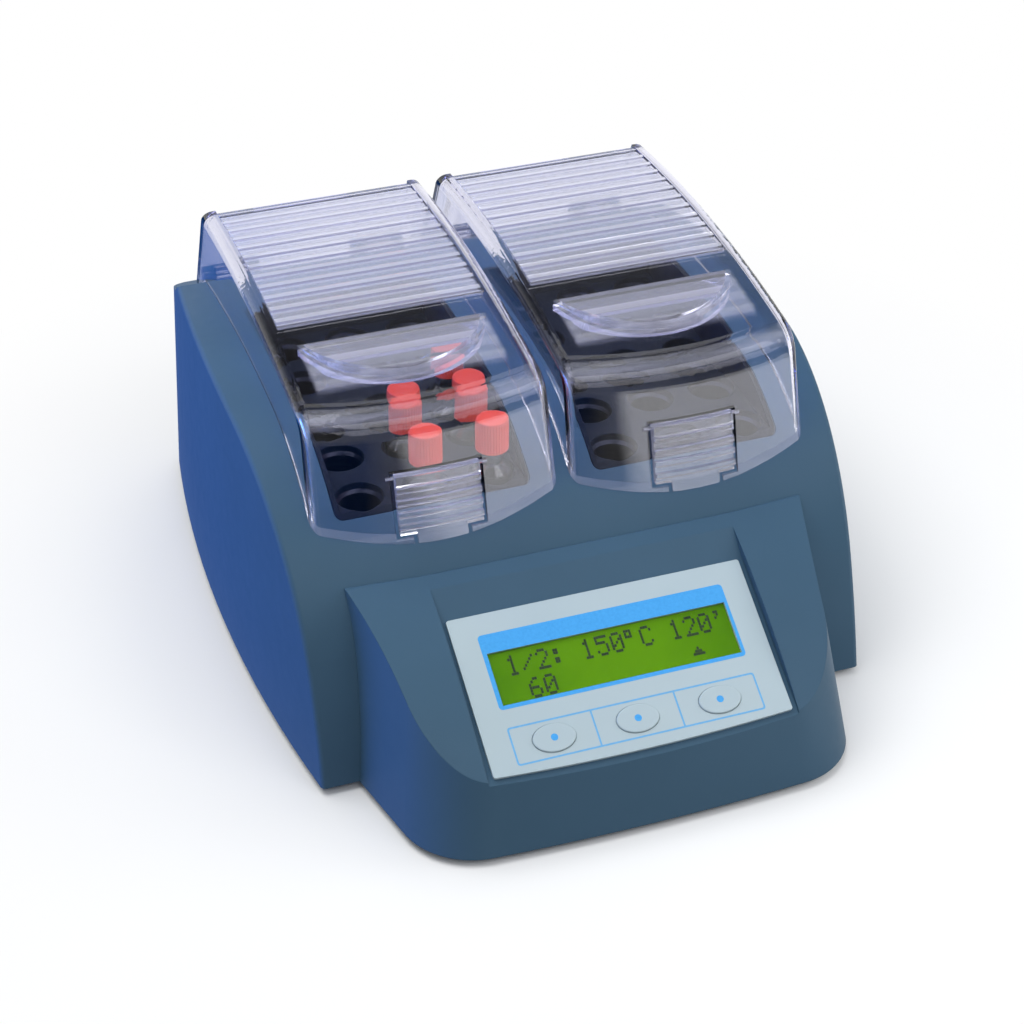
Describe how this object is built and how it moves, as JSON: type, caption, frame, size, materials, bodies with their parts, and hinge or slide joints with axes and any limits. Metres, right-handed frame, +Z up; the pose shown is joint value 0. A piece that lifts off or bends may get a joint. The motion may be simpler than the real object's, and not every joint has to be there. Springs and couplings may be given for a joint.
{
  "type": "chemical oxygen demand reactor",
  "caption": "Bench reactor that heats sealed sample vials: two heater blocks with wells under hinged clear lids, and a sloping console with a display window and oval keys.",
  "frame": {"origin": "on the bench under the plan centre of the bounding box, lids closed", "axes": "+X to the instrument's right, -Y to the front where the console is, +Z up"},
  "size_m": [0.25, 0.31, 0.145],
  "materials": {
    "casing": "satin",
    "base": "matt",
    "feet": "matt",
    "steel": "brushed",
    "block_metal": "anodised dark",
    "tray_black": "satin",
    "insulation": "matt",
    "heater": "matt",
    "posts": "matt",
    "lid_clear": "clear, gloss",
    "panel": "satin",
    "window": "clear, gloss",
    "display": "lit yellow-green",
    "key_grey": "satin",
    "circuit_board": "solder mask",
    "socket_black": "satin",
    "core": "varnished",
    "vial_glass": "clear",
    "sample": "clear liquid",
    "cap_red": "satin"
  },
  "bodies": {
    "reactor": {"housing_shell": "casing", "console_shell": "casing", "base_plate": "base", "rubber_feet": "feet", "base_screws": "steel", "control_board": "circuit_board", "board_screws": "steel", "display_module": "display", "display_window": "window", "keypad_panel": "panel", "power_inlet": "socket_black", "switch_frame": "socket_black", "power_board": "circuit_board", "transformer": "core", "vial_tubes": "vial_glass", "vial_samples": "sample", "vial_caps": "cap_red", "block_tray_left": "tray_black", "heater_block_left": "block_metal", "heater_plate_left": "heater", "insulation_jacket_left": "insulation", "support_posts_left": "posts", "temperature_sensor_left": "steel", "hinge_pins_left": "steel", "block_tray_right": "tray_black", "heater_block_right": "block_metal", "heater_plate_right": "heater", "insulation_jacket_right": "insulation", "support_posts_right": "posts", "temperature_sensor_right": "steel", "hinge_pins_right": "steel"},
    "left_lid": {"lid_shell_left": "lid_clear"},
    "right_lid": {"lid_shell_right": "lid_clear"},
    "left_latch": {"latch_tab_left": "lid_clear"},
    "right_latch": {"latch_tab_right": "lid_clear"},
    "left_key": {"key_left": "key_grey"},
    "middle_key": {"key_middle": "key_grey"},
    "right_key": {"key_right": "key_grey"},
    "rocker": {"power_rocker": "socket_black"}
  },
  "joints": [
    {"name": "left_lid_hinge", "type": "hinge", "parent": "reactor", "child": "left_lid", "pos_m": [-0.0522, 0.14, 0.1012], "axis": [-1, 0, 0], "range_deg": [0, 95]},
    {"name": "right_lid_hinge", "type": "hinge", "parent": "reactor", "child": "right_lid", "pos_m": [0.0522, 0.14, 0.1012], "axis": [-1, 0, 0], "range_deg": [0, 95]},
    {"name": "left_latch_pivot", "type": "hinge", "parent": "left_lid", "child": "left_latch", "pos_m": [-0.0522, -0.05336, 0.1106], "axis": [-1, 0, 0], "range_deg": [0, 12], "stiffness_Nm_per_rad": 0.05},
    {"name": "right_latch_pivot", "type": "hinge", "parent": "right_lid", "child": "right_latch", "pos_m": [0.0522, -0.05336, 0.1106], "axis": [-1, 0, 0], "range_deg": [0, 12], "stiffness_Nm_per_rad": 0.05},
    {"name": "left_key_press", "type": "slide", "parent": "reactor", "child": "left_key", "axis": [0, 0.4863, -0.8738], "range_m": [0, 0.0006], "stiffness_N_per_m": 300},
    {"name": "middle_key_press", "type": "slide", "parent": "reactor", "child": "middle_key", "axis": [0, 0.4863, -0.8738], "range_m": [0, 0.0006], "stiffness_N_per_m": 300},
    {"name": "right_key_press", "type": "slide", "parent": "reactor", "child": "right_key", "axis": [0, 0.4863, -0.8738], "range_m": [0, 0.0006], "stiffness_N_per_m": 300},
    {"name": "power_rocker_turn", "type": "hinge", "parent": "reactor", "child": "rocker", "pos_m": [0.03, 0.15023, 0.03383], "axis": [1, 0, 0], "range_deg": [0, 18]}
  ]
}
